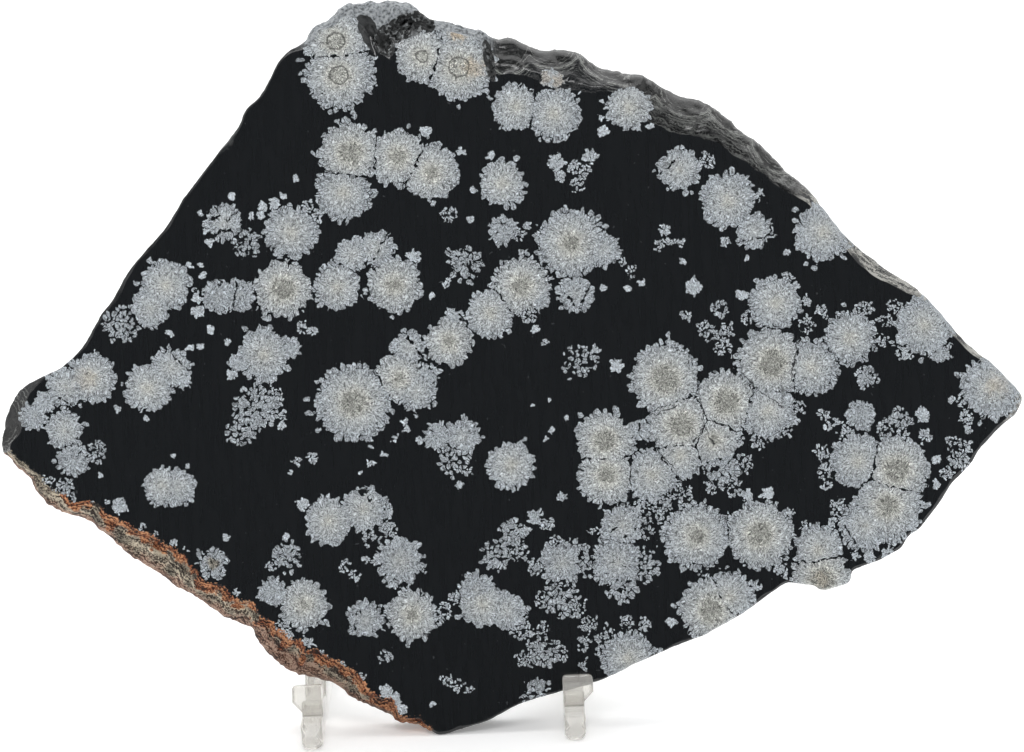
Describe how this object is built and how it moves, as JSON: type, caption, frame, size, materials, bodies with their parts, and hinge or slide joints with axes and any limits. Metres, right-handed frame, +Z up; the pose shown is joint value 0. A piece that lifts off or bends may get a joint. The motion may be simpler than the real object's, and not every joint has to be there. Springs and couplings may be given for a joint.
{
  "type": "snowflake obsidian slab on stand",
  "caption": "Polished slab of black snowflake obsidian with a rough broken rim, leaning on a clear acrylic display stand.",
  "frame": {"origin": "on the table, under the middle of the whole piece's box", "axes": "+X to the right as the polished face is seen, +Y away from the viewer towards the stand's heels, +Z up; the polished face looks towards -Y and leans back by 12 degrees"},
  "size_m": [0.2038, 0.083, 0.1431],
  "materials": {
    "stone": "polished black volcanic glass with grey snowflake spherulites, rough at the rim",
    "clear_plastic": "clear, colourless, polished acrylic"
  },
  "bodies": {
    "root": {"obsidian_slab": "stone", "stand_arm_left": "clear_plastic", "stand_arm_right": "clear_plastic", "stand_rod_lower": "clear_plastic", "stand_rod_upper": "clear_plastic"}
  },
  "joints": []
}
